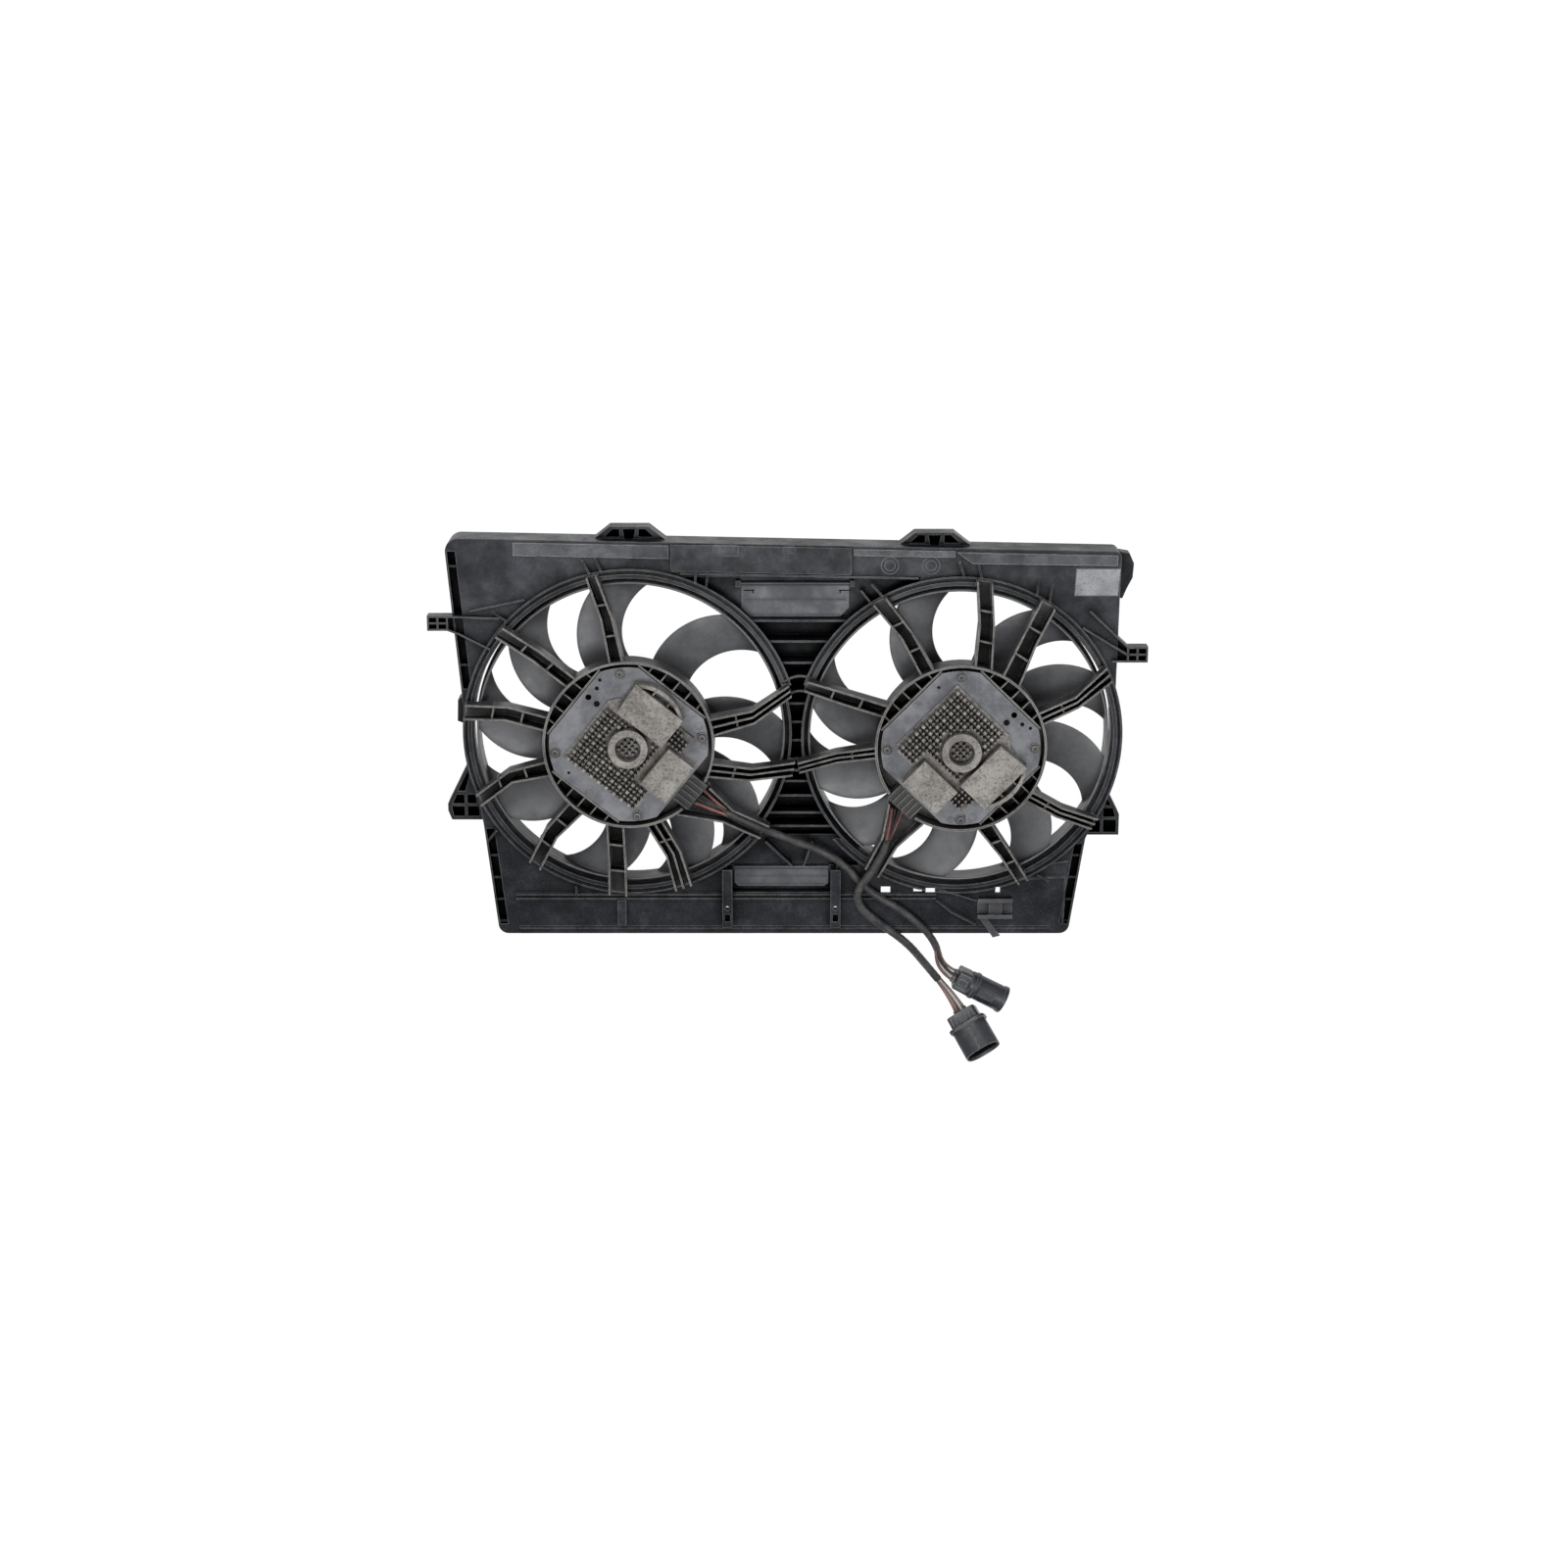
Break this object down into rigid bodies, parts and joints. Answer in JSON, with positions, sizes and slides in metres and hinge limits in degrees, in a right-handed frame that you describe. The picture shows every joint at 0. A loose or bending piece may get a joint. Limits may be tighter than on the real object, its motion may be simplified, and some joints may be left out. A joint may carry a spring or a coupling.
{
  "type": "radiator fan shroud",
  "caption": "Black moulded radiator fan shroud with two ringed fans, finned electric motors on ribbed arms, ram-air flaps and wiring with connectors.",
  "frame": {"origin": "middle of the outline on the face that lies against the radiator", "axes": "+X across the radiator, +Y up the radiator, +Z from the radiator towards the motors"},
  "size_m": [0.754, 0.5901, 0.106],
  "materials": {
    "black_plastic": "moulded, satin",
    "fan_plastic": "moulded, satin",
    "cast_aluminium": "die-cast",
    "housing_plastic": "moulded, satin",
    "rotor_steel": "zinc plated",
    "magnet": "sintered",
    "shaft_steel": "ground",
    "core_steel": "laminated",
    "winding_copper": "enamelled wire",
    "circuit_board": "lacquered",
    "plug_plastic": "moulded",
    "cable_sheath": "woven sleeve",
    "connector_plastic": "moulded",
    "flap_rubber": "moulded"
  },
  "bodies": {
    "shroud": {"shroud_frame": "black_plastic", "harness_clip": "plug_plastic", "motor_bearings": "shaft_steel", "stator_cores": "core_steel", "stator_windings": "winding_copper", "control_boards": "circuit_board", "left_cable": "cable_sheath", "right_cable": "cable_sheath", "round_connector": "connector_plastic", "oval_connector": "connector_plastic", "left_motor_carrier": "black_plastic", "left_motor_housing": "housing_plastic", "left_heat_sink": "cast_aluminium", "left_motor_plug": "plug_plastic", "right_motor_carrier": "black_plastic", "right_motor_housing": "housing_plastic", "right_heat_sink": "cast_aluminium", "right_motor_plug": "plug_plastic"},
    "left_fan_rotor": {"left_fan": "fan_plastic", "left_rotor_bell": "rotor_steel", "left_rotor_magnets": "magnet", "left_motor_shaft": "shaft_steel"},
    "right_fan_rotor": {"right_fan": "fan_plastic", "right_rotor_bell": "rotor_steel", "right_rotor_magnets": "magnet", "right_motor_shaft": "shaft_steel"},
    "upper_flap_body": {"upper_flap": "flap_rubber"},
    "lower_flap_body": {"lower_flap": "flap_rubber"}
  },
  "joints": [
    {"name": "left_fan_spin", "type": "hinge", "parent": "shroud", "child": "left_fan_rotor", "pos_m": [-0.166, 0.004, 0.045], "axis": [0, 0, 1], "continuous": true},
    {"name": "right_fan_spin", "type": "hinge", "parent": "shroud", "child": "right_fan_rotor", "pos_m": [0.18, 0, 0.045], "axis": [0, 0, 1], "continuous": true},
    {"name": "upper_flap_hinge", "type": "hinge", "parent": "shroud", "child": "upper_flap_body", "pos_m": [0.0075, 0.163, 0.0274], "axis": [-1, 0, 0], "range_deg": [0, 60]},
    {"name": "lower_flap_hinge", "type": "hinge", "parent": "shroud", "child": "lower_flap_body", "pos_m": [-0.007, -0.148, 0.0274], "axis": [-1, 0, 0], "range_deg": [0, 60]}
  ]
}
